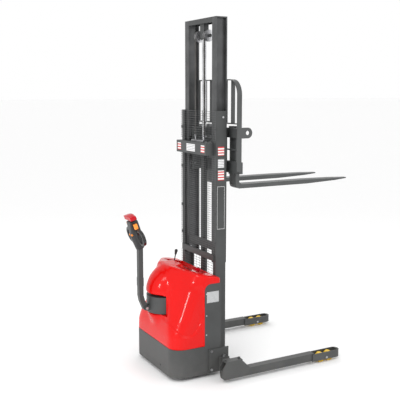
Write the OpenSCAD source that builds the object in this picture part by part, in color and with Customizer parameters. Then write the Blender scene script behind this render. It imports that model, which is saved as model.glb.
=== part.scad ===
/* [Mast] */
// Overall width of the outer mast
mast_w = 590; // [560:5:640]
// Depth of an outer mast rail, front to rear
outer_depth = 93; // [88:1:105]
// Height of the outer mast's top
outer_top = 2155; // [1900:5:2500]
// How far an outer rail's flanges reach inwards
outer_flange = 46; // [40:1:52]
// Overall width of the inner mast
inner_w = 528; // [510:2:560]
// Depth of an inner mast rail, front to rear
inner_depth = 102; // [98:1:115]
// Width of an inner rail's flanges
inner_flange = 65; // [60:1:72]
// Length of the inner mast
inner_len = 1981; // [1800:5:2300]
// Plate thickness of the mast rails
rail_t = 10; // [8:1:12]
// How far the inner mast is raised
raise = 734; // [0:2:1000]

/* [Lift] */
// Outer radius of the lift cylinder
barrel_r = 28; // [25:1:30]
// Radius of the piston rod
rod_r = 18; // [14:1:20]
// Pitch radius of a chain sheave
sheave_r = 42; // [38:1:46]
// Distance from the middle to each lift chain
chain_x = 74; // [66:1:90]
// Width of a lift chain
chain_w = 16; // [12:1:20]

/* [Carriage and forks] */
// Height of the fork blades' undersides with the mast lowered
fork_low = 50; // [45:1:80]
// Fork length from the front of the shank
fork_len = 1150; // [900:10:1300]
// Width of a fork
fork_w = 100; // [80:5:120]
// Thickness of a fork
fork_t = 35; // [30:1:40]
// Overall width across both forks
fork_spread = 544; // [480:2:600]
// Overall width of the load backrest
backrest_w = 780; // [740:5:840]
// Height of the load backrest
backrest_h = 735; // [600:5:900]

/* [Legs] */
// Overall width across the straddle legs
leg_spread = 1150; // [1120:5:1300]
// Width of a leg's tube
leg_w = 65; // [60:1:80]
// Height of a leg's tube
leg_h = 65; // [60:1:70]
// Distance from the mast's rear face to a leg's nose
leg_reach = 1093; // [900:5:1250]
// Diameter of a load roller
roller_d = 82; // [76:1:84]
// Width of a load roller
roller_w = 42; // [36:1:50]

/* [Chassis] */
// Overall width of the chassis
body_w = 770; // [740:5:820]
// Distance from the mast's rear face to the chassis's rear face
body_d = 432; // [430:2:480]
// Height of the steel skirt's top edge
skirt_top = 265; // [240:5:300]
// Height of the chassis over the floor
clearance = 30; // [25:1:40]
// Height of the hood where it meets the mast
hood_front_h = 817; // [790:1:900]
// Thickness of the hood's moulding
hood_wall = 6; // [5:1:8]

/* [Drive and tiller] */
// Diameter of the drive wheel
drive_d = 190; // [180:1:192]
// Width of the drive wheel's tyre
drive_w = 60; // [50:1:62]
// Radius of the steering drum
drum_r = 150; // [140:1:154]
// Height of the steering drum
drum_h = 138; // [120:1:150]
// Height of the tiller tube's upper end
tiller_top = 1062; // [1000:2:1150]
// Angle that the tiller head leans back
head_lean = 17; // [10:1:25]

/* [Hidden] */
$fn = 48;
steel = [0.36, 0.37, 0.37];
dark = [0.16, 0.16, 0.17];
bright = [0.72, 0.72, 0.74];

// Straddle legs and the square sleeve that they telescope in
sleeve = 80;
sleeve_wall = 6;
sleeve_z = 80;
sleeve_y = 15;
sleeve_half = body_w / 2 + 45;
leg_z = clearance;
leg_out = leg_spread / 2;
leg_in = leg_out - leg_w;
leg_plate = 8;
arm_fit = 0.5;
arm = sleeve - 2 * sleeve_wall - 2 * arm_fit;
arm_z = sleeve_z + sleeve_wall + arm_fit;
arm_in = 180;
axle_z = roller_d / 2;
bogie_y = leg_reach - 150;
roller_pitch = roller_d + 8;
bogie_axle_r = 10;
nose_w = leg_w + 18;

// Mast
foot_t = 8;
foot_top = sleeve_z + sleeve + foot_t;
outer_half = mast_w / 2;
inner_half = inner_w / 2;
inner_y = 15;
inner_low = foot_top + 8;
inner_bottom = inner_low + raise;
inner_top = inner_bottom + inner_len;
inner_web = inner_half - inner_flange / 2 + rail_t / 2;
inner_mid_y = inner_y + inner_depth / 2;
outer_mid_y = outer_depth / 2;
roller_gap = 0.5;
upper_roller_z = outer_top - 50;
lower_roller_z = inner_bottom + 50;
beam_z = outer_top - 355;
beam_h = 100;
beam_half = outer_half - 38;
beam_d = 73;
guard_half = outer_half + 5;
guard_y = -9;
guard_t = 4;
wire = 3;
wire_pitch = 35;
post_pitch = 100;
bar_z = 935;
bar_h = 50;

// Lift cylinder, rod and chains
lift_y = 55;
barrel_top = beam_z;
barrel_base = foot_top;
bore_r = barrel_r - 5;
sheave_z = inner_top - 136;
sheave_axle_r = 10;
piston_z = inner_bottom + 90;
chain_t = 9;
groove_r = sheave_r - chain_t / 2;
anchor_z = beam_z + beam_h + 50;

// Carriage and forks
fork_z = fork_low + 2 * raise;
bar_low = fork_z + 132;
bar_low_h = 95;
bar_up = fork_z + 419;
bar_up_h = 78;
bar_t = 33;
bar_front = 198;
fork_y = bar_front + 2;
fork_x = fork_spread / 2 - fork_w / 2;
plate_x = inner_half - inner_flange - 19;
plate_t = 12;
hoop_t = 8;
hoop_d = 42;
hoop_y = bar_front - hoop_d / 2 - 17;
hoop_z = fork_z + 152;
hoop_r = 125;
hoop_half = backrest_w / 2;
post_gap = 115;
lug_z = fork_z + 462;
lug_y = hoop_y + hoop_d / 2 + 56;
lug_r = 43;
lug_hole_r = 17;
carriage_roller_up = bar_up + 30;
carriage_roller_low = bar_low + 50;
tie_z = bar_up - 37;

// Chassis and hood
body_half = body_w / 2;
skin = 4;
corner_r = 110;
panel_y = 150;
panel_top = hood_front_h - 37;
floor_z = 118;
floor_t = 6;
turret_z = 240;
turret_t = 10;
hood_rise = 0.246;
hood_gap = 2;
recess_top = 655;
drum_z = 502;
axis_y = -body_d + skin + 3.4 + sqrt(pow(drive_d / 2, 2) + pow(drive_w / 2, 2));
drive_r = drive_d / 2;
neck_r = 84;
motor_r = 68;
drum_wall = 8;
stop_x = 170;
stop_y = -100;
lever_x = -190;
lever_y = -140;
stop_r = 11;
lever_ball_r = 16.6;
control_gap = 0.4;
tray_half = 255;
tray_rear = -205;
tray_front = -30;
caster_x = 270;
caster_y = axis_y + 45;
caster_r = 40;
caster_trail = 28;

// Tiller
pivot_y = axis_y - drum_r - 25;
pivot_z = drum_z + 40;
pivot_r = 8;
tube_y = pivot_y - 43;
tube_x = 44;
tube_d = 38;
bend_z = pivot_z + 190;
joint_z = bend_z + 70;
head_w = 330;
head_h = 240;
cap_h = 44;
cap_back = 32;
throttle_z = 190;
throttle_y = -8;
throttle_r = 8;
loop_tall = 140;
loop_bar = 24;
loop_t = 28;
loop_low = 24;
loop_in = 28;
head_top = head_h - 9;
stem_low = head_h - 28;
stem_travel = 9;

// The overall front-to-rear box is centred on the origin
head_rear = -tube_y + sin(head_lean) * (head_h + cap_h) + cos(head_lean) * cap_back;
front_reach = fork_y + fork_t + fork_len;
mast_y = (head_rear - front_reach) / 2;

function hood_z(y) = hood_front_h - hood_rise * y;

module at_mast() {
    translate([0, mast_y, 0]) children();
}

module box(x0, x1, y0, y1, z0, z1) {
    translate([x0, y0, z0]) cube([x1 - x0, y1 - y0, z1 - z0]);
}

module rod_x(r, x0, x1, y, z) {
    translate([x0, y, z]) rotate([0, 90, 0]) cylinder(h = x1 - x0, r = r);
}

module rod_y(r, y0, y1, x, z) {
    translate([x, y1, z]) rotate([90, 0, 0]) cylinder(h = y1 - y0, r = r);
}

module rod_z(r, z0, z1, x, y) {
    translate([x, y, z0]) cylinder(h = z1 - z0, r = r);
}

module both_sides() {
    children();
    mirror([1, 0, 0]) children();
}

// Hexagon-headed bolt standing up at x, y with its head's underside at z
module bolt_up(x, y, z, d) {
    rod_z(d / 2, z - d, z, x, y);
    translate([x, y, z]) cylinder(h = 0.65 * d, r = 0.95 * d, $fn = 6);
}

// Outline in the YZ plane, thickness along X from x0 to x1
module plate_yz(x0, x1) {
    translate([x0, 0, 0]) rotate([90, 0, 90]) linear_extrude(x1 - x0) children();
}

// ---- chassis ----

// Plan of the chassis: square at the mast, round at the two rear corners
module body_plan(inset) {
    r = corner_r - inset;
    translate([-body_half + inset, -body_d + inset + r])
        square([body_w - 2 * inset, body_d - inset - r]);
    translate([-body_half + inset + r, -body_d + inset])
        square([body_w - 2 * inset - 2 * r, r + 1]);
    for (side = [-1, 1]) {
        translate([side * (body_half - corner_r), -body_d + corner_r]) circle(r = r, $fn = 96);
    }
}

module skirt() {
    difference() {
        translate([0, 0, clearance]) linear_extrude(skirt_top - clearance) body_plan(0);
        translate([0, 0, clearance - 1]) linear_extrude(skirt_top - clearance + 2)
            difference() {
                body_plan(skin);
                translate([-body_half, -skin - 2]) square([body_w, skin + 3]);
            }
    }
}

// Steel side panel with a round corner at its upper rear
module side_panel() {
    corner = 55;
    plate_yz(body_half - skin, body_half) difference() {
        translate([-panel_y, skirt_top]) square([panel_y, panel_top - skirt_top]);
        difference() {
            translate([-panel_y - 1, panel_top - corner]) square([corner + 1, corner + 1]);
            translate([-panel_y + corner, panel_top - corner]) circle(r = corner);
        }
    }
}

module chassis() {
    wheel_room = body_d + axis_y - skin - 1;
    at_mast() color(steel) difference() {
        union() {
            skirt();
            both_sides() side_panel();
            box(-body_half, body_half, -skin - 2, 0, skirt_top - 1, panel_top);
            translate([0, 0, floor_z]) linear_extrude(floor_t) body_plan(skin / 2);
            box(-190, 190, -body_d + skin / 2, -190, turret_z, turret_z + turret_t);
            both_sides() box(184, 190, -body_d + skin / 2, -190, floor_z, turret_z + 1);
        }
        // Room for the drive wheel and its steering bearing
        rod_z(wheel_room, floor_z - 1, floor_z + floor_t + 1, 0, axis_y);
        rod_z(neck_r + 1, turret_z - 1, turret_z + turret_t + 1, 0, axis_y);
        // The leg sleeve passes through the skirt and under the front wall
        box(-body_half - 1, body_half + 1, sleeve_y - sleeve / 2 - 1, 1, sleeve_z - 1,
            sleeve_z + sleeve + 1);
        // Pipe hole, round hole in the rear of the skirt, casters' swivel pins
        rod_y(9, -skin - 4, 1, 0, 430);
        rod_y(7, -body_d - 1, -body_d + skin + 1, 0.35 * body_half, 118 - 40);
        both_sides() rod_z(10, floor_z - 1, floor_z + floor_t + 1, caster_x, caster_y);
    }
}

// The hood without its openings, shrunk by inset
module hood_form(inset) {
    rim_r = 15;
    step_z = 360;
    half = body_half - inset - rim_r;
    front = -hood_gap - rim_r - inset;
    rim = [[half, front], [half, -125], [half - 50, -190 + inset], [half - 155, -240 + inset],
        [95, -318 + inset]];
    hull() {
        translate([0, 0, skirt_top - (inset > 0 ? 1 : 0)]) linear_extrude(step_z - skirt_top)
            intersection() {
                body_plan(inset);
                translate([-body_half, -body_d]) square([body_w, body_d - panel_y]);
            }
        for (p = rim) {
            for (side = [-1, 1]) {
                translate([side * p[0], p[1], panel_top - 5])
                    cylinder(h = hood_z(p[1]) - panel_top + 5 - inset, r = rim_r, $fn = 24);
            }
        }
    }
    // Nose over the steering drum
    hull() {
        rod_z(drum_r + 9 - inset, recess_top, recess_top + 8, 0, axis_y, $fn = 32);
        rod_z(96 - inset, hood_z(axis_y) - 40, hood_z(-318) - inset, 0, -235, $fn = 32);
        box(-drum_r + 10, drum_r - 10, -240, -200, recess_top, hood_z(-240) - 20 - inset);
    }
    // Bulge under the drum
    hull() {
        rod_z(drum_r - inset, drum_z - 16, drum_z - 6 - inset, 0, axis_y, $fn = 32);
        rod_z(90 - inset, 370, 380, 0, axis_y, $fn = 32);
        box(-100, 100, -260, -220, 372, drum_z - 8);
    }
}

module hood() {
    corner = 55;
    at_mast() color("red") difference() {
        hood_form(0);
        difference() {
            hood_form(hood_wall);
            // The ledge under the drum and the nose over it stay closed
            box(-drum_r - 8, drum_r + 8, -body_d - 80, axis_y + drum_r + 6, drum_z - 6 - hood_wall,
                drum_z + 1);
            box(-drum_r - 8, drum_r + 8, -body_d - 80, axis_y + drum_r + 6, recess_top,
                recess_top + hood_wall);
            rod_z(drum_r + 7 + hood_wall, drum_z - 6, recess_top + 1, 0, axis_y);
        }
        // Recess in which the steering drum and the tiller's foot turn
        rod_z(drum_r + 7, drum_z - 6, recess_top, 0, axis_y);
        box(-205, 205, -body_d - 60, axis_y - 55, drum_z - 6, recess_top);
        rod_z(neck_r, 360, drum_z, 0, axis_y);
        // Room for the steel side panels and the front wall
        box(-body_half - 1, body_half + 1, -panel_y + corner - 0.5, 1, skirt_top - 5, panel_top + 0.5);
        box(-body_half - 1, body_half + 1, -panel_y - 0.5, 1, skirt_top - 5, panel_top - corner);
        rod_x(corner + 0.5, -body_half - 1, body_half + 1, -panel_y + corner, panel_top - corner);
        // Opening for the tray
        box(-tray_half - 0.5, tray_half + 0.5, tray_rear - 0.5, tray_front + 0.5, 780, 1000);
    }
}

// Sloping storage tray that fills the opening in the hood's top
module tray_cover() {
    at_mast() color([0.8, 0.2, 0.2]) difference() {
        tray_block(0, 0);
        tray_block(8, 8);
        translate([stop_x, stop_y, 700]) cylinder(h = 300, r = stop_r + control_gap);
        translate([lever_x, lever_y, 700]) cylinder(h = 300, r = lever_ball_r + control_gap);
    }
}

module tray_block(inset, lift) {
    deep = 22;
    low = tray_rear + inset;
    high = tray_front - inset;
    plate_yz(-tray_half + inset, tray_half - inset) polygon([
        [low, hood_z(low) - deep + lift], [high, hood_z(high) - deep + lift],
        [high, hood_z(high) - 2 + 2 * lift], [low, hood_z(low) - 2 + 2 * lift]
    ]);
}

module battery() {
    at_mast() color(dark) {
        difference() {
            box(-300, 300, -165, -30, floor_z + floor_t, 400);
            for (i = [-2:2]) {
                rod_z(11, 394, 401, i * 110, -92);
            }
        }
        both_sides() box(255, 280, -110, -75, 400, 412);
    }
}

module pump_unit() {
    at_mast() color(bright) {
        rod_z(48, 412.5, 560, -150, -95);
        box(-205, -95, -145, -45, 560, 590);
        box(-60, 60, -150, -45, 412.5, 640);
        box(-95, -60, -110, -80, 566, 584);
        rod_z(14, 640, 655, 20, -100);
    }
}

module motor_controller() {
    at_mast() color("silver") difference() {
        box(110, 290, -130, -40, 412.5, 500);
        for (i = [0:7]) {
            box(120 + 20 * i, 130 + 20 * i, -131, -39, 480, 501);
        }
    }
}

// Steel pipe from the pump to the foot of the lift cylinder
module hydraulic_line() {
    pipe_y = 6;
    port_z = barrel_base + 55;
    at_mast() color(bright) {
        rod_y(5, -45, pipe_y, 0, 430);
        translate([0, pipe_y, 430]) sphere(r = 5);
        rod_z(5, port_z, 430, 0, pipe_y);
        translate([0, pipe_y, port_z]) sphere(r = 5);
        rod_y(5, pipe_y, lift_y - barrel_r, 0, port_z);
    }
}

module data_plate() {
    at_mast() color("lightgray") box(body_half, body_half + 1, -132, -22, 625, 715);
}

module hydraulic_lever() {
    base = hood_z(lever_y) - 18;
    at_mast() color(dark) {
        translate([lever_x, lever_y, base]) rotate([-12, 0, 0]) {
            cylinder(h = 92, r = 5);
            sphere(r = lever_ball_r);
            translate([0, 0, 78]) cylinder(h = 34, r1 = 8, r2 = 14);
            translate([0, 0, 112]) sphere(r = 14);
        }
    }
}

module stop_button() {
    base = hood_z(stop_y) - 20;
    at_mast() color("red") {
        rod_z(stop_r, base, base + 26, stop_x, stop_y);
        rod_z(28, base + 26, base + 38, stop_x, stop_y);
        rod_z(20, base + 38, base + 44, stop_x, stop_y);
    }
}

// ---- leg sleeve ----

module leg_sleeve() {
    flange = 12;
    at_mast() color(steel) {
        difference() {
            union() {
                box(-sleeve_half, sleeve_half, sleeve_y - sleeve / 2, sleeve_y + sleeve / 2,
                    sleeve_z, sleeve_z + sleeve);
                both_sides() box(body_half + 1, body_half + 1 + flange, -115, sleeve_y + 50,
                    sleeve_z - 35, sleeve_z + sleeve + 75);
            }
            box(-sleeve_half - 1, sleeve_half + 1, sleeve_y - sleeve / 2 + sleeve_wall,
                sleeve_y + sleeve / 2 - sleeve_wall, sleeve_z + sleeve_wall,
                sleeve_z + sleeve - sleeve_wall);
            for (side = [-1, 1]) {
                rod_z(7, sleeve_z + sleeve - sleeve_wall - 1, sleeve_z + sleeve + 1,
                    side * (sleeve_half - 20), sleeve_y);
            }
            both_sides() for (z = [sleeve_z - 18, sleeve_z + sleeve + 58]) {
                rod_x(6.5, body_half, body_half + flange + 2, -95, z);
            }
        }
        // Foot plate under the mast
        box(-outer_half, outer_half, 0, outer_depth, sleeve_z + sleeve, foot_top);
    }
}

module sleeve_bolts() {
    flange_x = body_half + 13;
    at_mast() color(bright) both_sides() {
        bolt_up(sleeve_half - 20, sleeve_y, sleeve_z + sleeve + 10, 12);
        rod_z(11, sleeve_z + sleeve, sleeve_z + sleeve + 10, sleeve_half - 20, sleeve_y);
        for (z = [sleeve_z - 18, sleeve_z + sleeve + 58]) {
            rod_x(6, body_half + 1, flange_x, -95, z);
            translate([flange_x, -95, z]) rotate([0, 90, 0]) cylinder(h = 8, r = 11, $fn = 6);
        }
    }
}

// ---- outer mast ----

module outer_rail() {
    notch = 19;
    difference() {
        box(outer_half - outer_flange, outer_half, 0, outer_depth, foot_top, outer_top);
        box(outer_half - outer_flange - 1, outer_half - rail_t, rail_t, outer_depth - rail_t,
            foot_top - 1, outer_top + 1);
        box(outer_half - outer_flange - 1, outer_half - outer_flange + notch,
            outer_depth - rail_t - 1, outer_depth + 1, upper_roller_z - 45, outer_top + 1);
        rod_x(8, outer_half - rail_t - 1, outer_half + 1, inner_mid_y, upper_roller_z);
    }
}

module outer_mast_left() {
    at_mast() color(steel) mirror([1, 0, 0]) outer_rail();
}

module outer_mast_right() {
    at_mast() color(steel) outer_rail();
}

module mast_crossbar() {
    half = outer_half - 20;
    at_mast() color(steel) {
        box(-half, half, -14, 0, bar_z, bar_z + bar_h);
        both_sides() box(half - 40, half - 4, guard_y + guard_t + 1, 0, bar_z + bar_h, bar_z + bar_h + 75);
    }
}

module label_beam() {
    wall = 5;
    gap = 12;
    at_mast() color(steel) difference() {
        box(-beam_half, beam_half, -beam_d, 0, beam_z, beam_z + beam_h);
        box(-beam_half + wall, beam_half - wall, -beam_d + wall, 1, beam_z + wall, beam_z + beam_h - wall);
        box(-chain_x - 60, chain_x + 60, -gap, 1, beam_z - 1, beam_z + beam_h + 1);
    }
}

// Bolts that hold the chains' fixed ends to a bar behind the mast
module chain_anchors() {
    y = lift_y - sheave_r;
    top = beam_z + beam_h;
    at_mast() color(bright) {
        box(-chain_x - 30, chain_x + 30, -13, y + 9, top, top + 12);
        both_sides() {
            rod_z(6, top - 25, anchor_z - 16, chain_x, y);
            box(chain_x - 9, chain_x + 9, y - 6, y + 6, anchor_z - 16, anchor_z);
            translate([chain_x, y, top - 13]) cylinder(h = 10, r = 10, $fn = 6);
        }
    }
}

module guard_panel(z0, z1) {
    rows = floor((z1 - z0 - wire) / wire_pitch);
    columns = floor((2 * guard_half - wire) / post_pitch);
    row_step = (z1 - z0 - wire) / rows;
    column_step = (2 * guard_half - wire) / columns;
    translate([0, guard_y + guard_t, 0]) rotate([90, 0, 0]) linear_extrude(guard_t) {
        for (i = [0:rows]) {
            translate([-guard_half, z0 + i * row_step]) square([2 * guard_half, wire]);
        }
        for (i = [0:columns]) {
            translate([-guard_half + i * column_step, z0]) square([wire, z1 - z0]);
        }
    }
}

module mesh_guard() {
    at_mast() color("gray") {
        guard_panel(hood_front_h + 8, bar_z);
        guard_panel(bar_z + bar_h, beam_z - 4);
        guard_panel(beam_z + beam_h + 20, outer_top - 4);
    }
}

module guard_clips() {
    at_mast() color(dark) both_sides() {
        for (z = [1080, 1320, 1660, 2000]) {
            box(outer_half - 22, guard_half + 3, guard_y + guard_t, 0, z, z + 22);
        }
    }
}

module lift_cylinder() {
    at_mast() color(dark) {
        difference() {
            rod_z(barrel_r, barrel_base, barrel_top, 0, lift_y);
            rod_z(bore_r, barrel_base + 20, barrel_top - 30, 0, lift_y);
            rod_z(rod_r + 0.06, barrel_top - 40, barrel_top + 1, 0, lift_y);
        }
        difference() {
            rod_z(barrel_r + 2, barrel_top - 35, barrel_top + 8, 0, lift_y);
            rod_z(barrel_r, barrel_top - 36, barrel_top, 0, lift_y);
            rod_z(rod_r + 0.06, barrel_top - 1, barrel_top + 9, 0, lift_y);
        }
    }
}

// Rollers on the outer mast's head run in the inner rails' outer channels
module mast_rollers_upper() {
    r = (inner_depth - 2 * rail_t) / 2 - roller_gap;
    at_mast() color(bright) both_sides() {
        rod_x(r, inner_web + 3, inner_half - 2, inner_mid_y, upper_roller_z);
        rod_x(7.95, inner_half - 2, outer_half, inner_mid_y, upper_roller_z);
    }
}

// ---- inner mast ----

module inner_rail() {
    difference() {
        box(inner_half - inner_flange, inner_half, inner_y, inner_y + inner_depth, inner_bottom,
            inner_top);
        box(inner_web, inner_half + 1, inner_y + rail_t, inner_y + inner_depth - rail_t,
            inner_bottom - 1, inner_top - 9);
        box(inner_half - inner_flange - 1, inner_web - rail_t, inner_y + rail_t,
            inner_y + inner_depth - rail_t, inner_bottom - 1, inner_top - 9);
        rod_x(8, inner_web - rail_t - 1, inner_web + 1, outer_mid_y, lower_roller_z);
    }
}

module inner_mast_left() {
    at_mast() color(steel) mirror([1, 0, 0]) inner_rail();
}

module inner_mast_right() {
    at_mast() color(steel) inner_rail();
}

module inner_crossmembers() {
    half = inner_half - inner_flange;
    at_mast() color(steel) {
        box(-half, half, inner_y, inner_y + 12, inner_top - 40, inner_top);
        box(-half, half, inner_y + inner_depth - 12, inner_y + inner_depth, inner_top - 40, inner_top);
        box(-half, half, inner_y, inner_y + inner_depth, inner_top - 8, inner_top);
        box(-half, half, inner_y, inner_y + 8, inner_bottom + 100, inner_bottom + 170);
    }
}

// Bracket under the top beam, with the sheaves' axle
module sheave_bracket() {
    half = 34;
    axle_end = chain_x + 22;
    at_mast() color(steel) {
        difference() {
            union() {
                box(-half, half, lift_y - 22, lift_y + 22, sheave_z - 20, inner_top - 8);
                rod_x(22, -half, half, lift_y, sheave_z - 8);
            }
            rod_z(rod_r - 4, sheave_z - 60, sheave_z - 10, 0, lift_y);
        }
        rod_x(sheave_axle_r, -axle_end, axle_end, lift_y, sheave_z);
        both_sides() translate([axle_end, lift_y, sheave_z]) rotate([0, 90, 0])
            cylinder(h = 6, r = 15, $fn = 6);
    }
}

module piston_rod() {
    at_mast() color("white") {
        rod_z(rod_r, piston_z, sheave_z - 31, 0, lift_y);
        rod_z(rod_r - 5, sheave_z - 31, sheave_z - 12, 0, lift_y);
        rod_z(bore_r - 0.06, piston_z - 30, piston_z, 0, lift_y);
    }
}

// Rollers at the inner mast's foot run in the outer rails' channels
module mast_rollers_lower() {
    r = (outer_depth - 2 * rail_t) / 2 - roller_gap;
    at_mast() color(bright) both_sides() {
        rod_x(r, inner_half + 2, outer_half - rail_t - 1, outer_mid_y, lower_roller_z);
        rod_x(7.95, inner_web - rail_t, inner_half + 2, outer_mid_y, lower_roller_z);
    }
}

module sheave(side) {
    half = 13;
    at_mast() translate([side * chain_x, lift_y, sheave_z]) rotate([0, 90, 0]) difference() {
        union() {
            translate([0, 0, -half]) cylinder(h = 4, r = sheave_r + 5);
            translate([0, 0, half - 4]) cylinder(h = 4, r = sheave_r + 5);
            translate([0, 0, -half]) cylinder(h = 2 * half, r = groove_r - 0.3);
        }
        translate([0, 0, -half - 1]) cylinder(h = 2 * half + 2, r = sheave_axle_r + 0.06);
    }
}

module sheave_left() {
    color(bright) sheave(-1);
}

module sheave_right() {
    color(bright) sheave(1);
}

// Lift chain: up from the fixed anchor, over the sheave and down to the carriage
module chain(side) {
    half = chain_w / 2;
    at_mast() {
        translate([side * chain_x - half, lift_y - sheave_r - chain_t / 2, anchor_z])
            cube([chain_w, chain_t, sheave_z - anchor_z]);
        translate([side * chain_x - half, lift_y + sheave_r - chain_t / 2, tie_z + 45])
            cube([chain_w, chain_t, sheave_z - tie_z - 45]);
        translate([side * chain_x - half, lift_y, sheave_z]) rotate([0, 90, 0]) difference() {
            cylinder(h = chain_w, r = sheave_r + chain_t / 2);
            translate([0, 0, -1]) cylinder(h = chain_w + 2, r = groove_r);
            translate([0, -100, -1]) cube([100, 200, chain_w + 2]);
        }
    }
}

module chain_left() {
    color(dark) chain(-1);
}

module chain_right() {
    color(dark) chain(1);
}

// ---- carriage ----

module carriage() {
    bar_half = hoop_half - hoop_t;
    chain_y = lift_y + sheave_r;
    at_mast() color(steel) {
        difference() {
            union() {
                box(-bar_half, bar_half, bar_front - bar_t, bar_front, bar_up, bar_up + bar_up_h);
                box(-bar_half, bar_half, bar_front - bar_t, bar_front, bar_low, bar_low + bar_low_h);
                both_sides()
                    box(plate_x, plate_x + plate_t, 38, bar_front - bar_t, bar_low, bar_up + bar_up_h);
                box(-plate_x, plate_x, chain_y - 8, chain_y + 22, tie_z, tie_z + 30);
            }
            both_sides() for (z = [carriage_roller_low, carriage_roller_up]) {
                rod_x(8, plate_x - 1, plate_x + plate_t + 1, inner_mid_y, z);
            }
        }
        // Ends of the lift chains
        both_sides() box(chain_x - 9, chain_x + 9, chain_y - 6, chain_y + 6, tie_z + 30, tie_z + 45);
        rod_x(6, -bar_half, bar_half, bar_front - bar_t + 8, fork_z + 322);
    }
}

// Flat bar bent into a hoop, with upright bars and a thin rail
module backrest() {
    top = hoop_z + backrest_h;
    rail_z = fork_z + 529;
    inner_r = hoop_r - hoop_t;
    at_mast() color(steel) translate([0, hoop_y + hoop_d / 2, 0]) rotate([90, 0, 0]) {
        linear_extrude(hoop_d) {
            for (side = [-1, 1]) {
                translate([side > 0 ? hoop_half - hoop_t : -hoop_half, hoop_z])
                    square([hoop_t, backrest_h - hoop_r]);
                translate([side * (hoop_half - hoop_r), top - hoop_r]) intersection() {
                    difference() {
                        circle(r = hoop_r, $fn = 96);
                        circle(r = inner_r, $fn = 96);
                    }
                    translate([side > 0 ? 0 : -hoop_r, 0]) square([hoop_r, hoop_r]);
                }
            }
            translate([-hoop_half + hoop_r, top - hoop_t]) square([2 * (hoop_half - hoop_r), hoop_t]);
        }
        translate([0, 0, hoop_d / 2 - 4]) linear_extrude(8) {
            translate([-hoop_half + hoop_t, rail_z]) square([2 * (hoop_half - hoop_t), 10]);
        }
        translate([0, 0, 4]) linear_extrude(hoop_d - 8) {
            for (i = [-2.5:1:2.5]) {
                translate([i * post_gap - 4, rail_z + 10]) square([8, post_top(i) - rail_z - 10]);
            }
        }
    }
}

function post_top(i) = hoop_z + backrest_h - hoop_t
    - (abs(i * post_gap) > hoop_half - hoop_r ? hoop_r - hoop_t
    - sqrt(pow(hoop_r - hoop_t, 2) - pow(abs(i * post_gap) + 4 - hoop_half + hoop_r, 2)) : 0);

// Eye plates on the backrest's sides, bored for a chain or a sling hook
module lifting_lugs() {
    root = hoop_y + hoop_d / 2;
    at_mast() color(steel) both_sides() difference() {
        union() {
            rod_x(lug_r, hoop_half - hoop_t, hoop_half, lug_y, lug_z);
            box(hoop_half - hoop_t, hoop_half, root, lug_y, lug_z - lug_r, lug_z + lug_r);
        }
        rod_x(lug_hole_r, hoop_half - hoop_t - 1, hoop_half + 1, lug_y, lug_z);
    }
}

module carriage_rollers(z) {
    r = (inner_depth - 2 * rail_t) / 2 - roller_gap;
    both_sides() {
        rod_x(r, inner_half - inner_flange + 2, inner_web - rail_t - 1, inner_mid_y, z);
        rod_x(7.95, plate_x, inner_half - inner_flange + 2, inner_mid_y, z);
    }
}

module carriage_rollers_upper() {
    at_mast() color(bright) carriage_rollers(carriage_roller_up);
}

module carriage_rollers_lower() {
    at_mast() color(bright) carriage_rollers(carriage_roller_low);
}

// L-shaped fork with hooks over and under the carriage's bars
module fork(side) {
    heel = 35;
    tip = front_reach;
    taper = 460;
    top = bar_up + bar_up_h + 14;
    play = 0.5;
    at_mast() translate([side * fork_x, 0, 0]) {
        difference() {
            union() {
                plate_yz(-fork_w / 2, fork_w / 2) polygon([
                    [fork_y, fork_z + heel], [fork_y + heel * 0.3, fork_z + heel * 0.3],
                    [fork_y + heel, fork_z], [tip - taper, fork_z], [tip, fork_z + 18],
                    [tip, fork_z + 27],
                    [tip - taper, fork_z + fork_t],
                    [fork_y + fork_t + 20, fork_z + fork_t],
                    [fork_y + fork_t, fork_z + fork_t + 20], [fork_y + fork_t, top], [fork_y, top]
                ]);
                box(-fork_w / 2 + 15, fork_w / 2 - 15, bar_front - bar_t / 2, fork_y + 1,
                    bar_up + bar_up_h + play, top);
                box(-fork_w / 2 + 15, fork_w / 2 - 15, bar_front - bar_t / 2, fork_y + 1,
                    bar_low - 15, bar_low - play);
            }
            // Pointed plan of the blade's end
            both_sides() translate([fork_w / 2, tip - 150, fork_z - 1]) rotate([0, 0, 12])
                cube([60, 200, fork_t + 2]);
        }
    }
}

module fork_left() {
    color(steel) fork(-1);
}

module fork_right() {
    color(steel) fork(1);
}

// ---- straddle legs ----

module leg_side_plate(x0, x1) {
    top = sleeve_z + sleeve + 18;
    plate_yz(x0, x1) polygon([
        [-74, leg_z], [-90, leg_z + 92], [-50, top], [82, top], [165, leg_z + leg_h],
        [165, leg_z]
    ]);
}

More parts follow.
